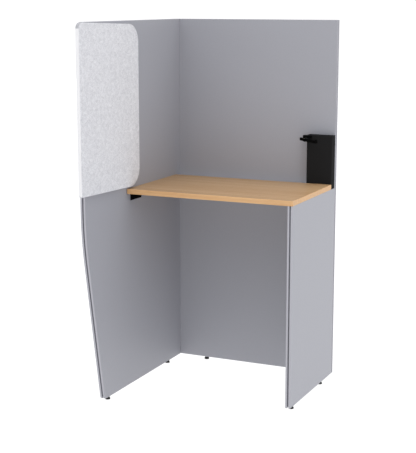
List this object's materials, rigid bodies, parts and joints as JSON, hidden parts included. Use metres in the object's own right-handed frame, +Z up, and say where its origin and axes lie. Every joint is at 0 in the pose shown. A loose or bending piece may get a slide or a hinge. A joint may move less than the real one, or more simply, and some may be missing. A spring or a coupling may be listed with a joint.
{
  "type": "standing office booth",
  "caption": "Open standing booth for one person: tall grey panels in an L, low side panel, wooden counter, felt wing, and a black tower with a swing-out hanger bar.",
  "frame": {"origin": "on the floor at the middle of the overall box, under the levelling feet", "axes": "+Z up, +Y to the back panel, +X to the low right-hand panel; the user stands at the -Y side"},
  "size_m": [0.88, 1.06, 1.8],
  "materials": {
    "panel_laminate": "matt grey laminate on board",
    "batten_frame": "dark stained battens",
    "desk_veneer": "light oak veneer, satin lacquer",
    "desk_edge": "light oak edge band, satin",
    "black_steel": "black powder coat, satin",
    "wing_board": "raw board",
    "wing_felt": "pale grey heathered felt",
    "foot_plastic": "black, matt",
    "washer_nylon": "natural nylon",
    "black_screws": "black oxide",
    "zinc_steel": "zinc plated"
  },
  "bodies": {
    "booth": {"back_frame": "batten_frame", "back_inner_skin": "panel_laminate", "back_outer_skin": "panel_laminate", "bracket_desk_screws": "black_screws", "bracket_wall_screws": "black_screws", "desk_board": "desk_veneer", "desk_bracket_left_front": "black_steel", "desk_bracket_left_rear": "black_steel", "desk_bracket_right_front": "black_steel", "desk_bracket_right_rear": "black_steel", "desk_edge_band": "desk_edge", "foot_sleeves": "zinc_steel", "hanger_ear": "black_steel", "hanger_ear_screws": "zinc_steel", "hanger_pivot_screw": "black_screws", "hanger_washer": "washer_nylon", "left_corner_bolts": "zinc_steel", "left_corner_sleeves": "zinc_steel", "left_frame": "batten_frame", "left_inner_skin": "panel_laminate", "left_outer_skin": "panel_laminate", "right_corner_bolts": "zinc_steel", "right_corner_sleeves": "zinc_steel", "right_frame": "batten_frame", "right_inner_skin": "panel_laminate", "right_outer_skin": "panel_laminate", "tower_back_plate": "black_steel", "tower_cover": "black_steel", "tower_cover_screws": "black_screws", "tower_wall_screws": "zinc_steel", "wing_bolts": "zinc_steel", "wing_core": "wing_board", "wing_cover": "wing_felt", "wing_sleeves": "zinc_steel"},
    "hanger": {"hanger_bar": "black_steel"},
    "foot_left_front": {"foot_pad_left_front": "foot_plastic", "foot_stem_left_front": "zinc_steel"},
    "foot_left_rear": {"foot_pad_left_rear": "foot_plastic", "foot_stem_left_rear": "zinc_steel"},
    "foot_back_left": {"foot_pad_back_left": "foot_plastic", "foot_stem_back_left": "zinc_steel"},
    "foot_back_right": {"foot_pad_back_right": "foot_plastic", "foot_stem_back_right": "zinc_steel"},
    "foot_right_front": {"foot_pad_right_front": "foot_plastic", "foot_stem_right_front": "zinc_steel"},
    "foot_right_rear": {"foot_pad_right_rear": "foot_plastic", "foot_stem_right_rear": "zinc_steel"}
  },
  "joints": [
    {"name": "hanger_swivel", "type": "hinge", "parent": "booth", "child": "hanger", "pos_m": [0.3015, 0.441, 1.218], "axis": [0, 0, 1], "range_deg": [-45, 40]},
    {"name": "foot_left_front_screw", "type": "slide", "parent": "booth", "child": "foot_left_front", "axis": [0, 0, -1], "range_m": [0, 0.012]},
    {"name": "foot_left_rear_screw", "type": "slide", "parent": "booth", "child": "foot_left_rear", "axis": [0, 0, -1], "range_m": [0, 0.012]},
    {"name": "foot_back_left_screw", "type": "slide", "parent": "booth", "child": "foot_back_left", "axis": [0, 0, -1], "range_m": [0, 0.012]},
    {"name": "foot_back_right_screw", "type": "slide", "parent": "booth", "child": "foot_back_right", "axis": [0, 0, -1], "range_m": [0, 0.012]},
    {"name": "foot_right_front_screw", "type": "slide", "parent": "booth", "child": "foot_right_front", "axis": [0, 0, -1], "range_m": [0, 0.012]},
    {"name": "foot_right_rear_screw", "type": "slide", "parent": "booth", "child": "foot_right_rear", "axis": [0, 0, -1], "range_m": [0, 0.012]}
  ]
}
